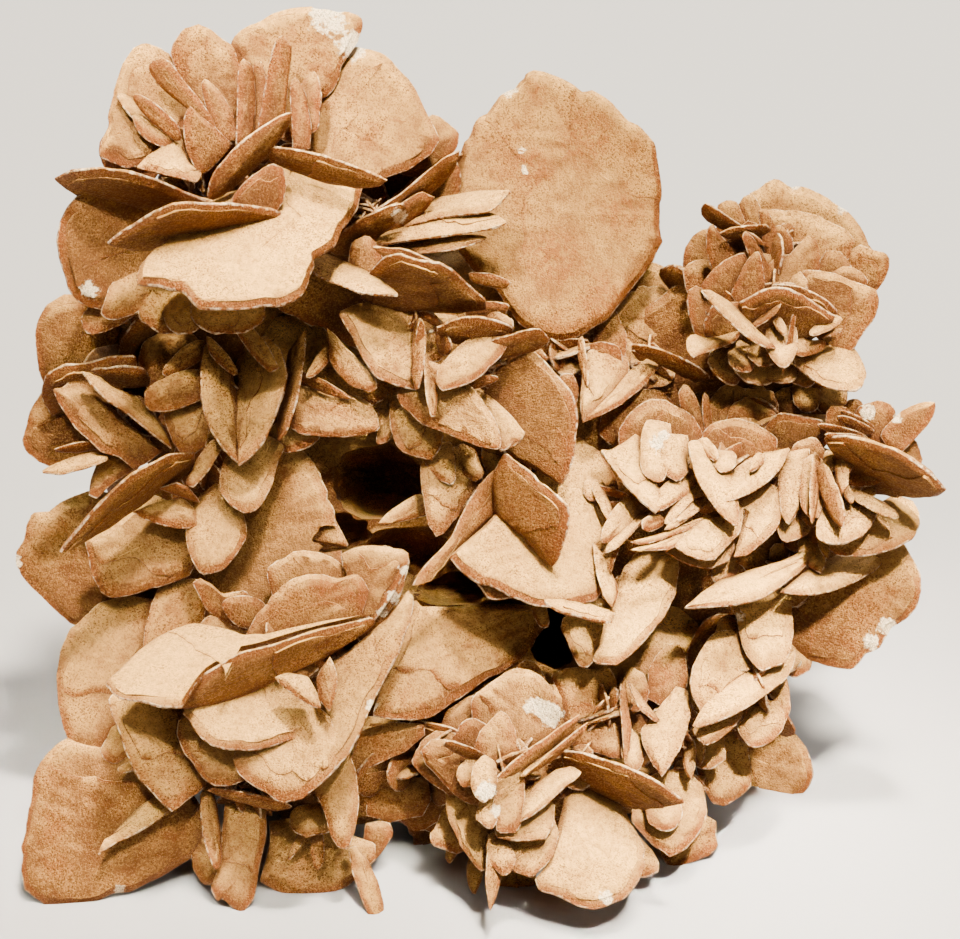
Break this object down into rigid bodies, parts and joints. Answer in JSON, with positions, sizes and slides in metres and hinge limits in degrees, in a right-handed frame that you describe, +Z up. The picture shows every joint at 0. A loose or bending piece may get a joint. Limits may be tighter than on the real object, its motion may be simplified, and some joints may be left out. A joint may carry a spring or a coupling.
{
  "type": "gypsum sand rose",
  "caption": "Desert sand rose: a free-standing cluster of flat lens-shaped gypsum crystals grown together in rosettes, with sandy faces and thin pale rims.",
  "frame": {"origin": "under the middle of the stone's bounding box, at the level of its resting facets", "axes": "+Z up; +X along the longest extent, towards the viewer's right when the show side is faced; -Y towards the show side"},
  "size_m": [0.465, 0.285, 0.3927],
  "materials": {
    "sandy_gypsum": "matt sandy crystal faces, cream where dusted and amber along the rims"
  },
  "bodies": {
    "root": {"sand_rose": "sandy_gypsum"}
  },
  "joints": []
}
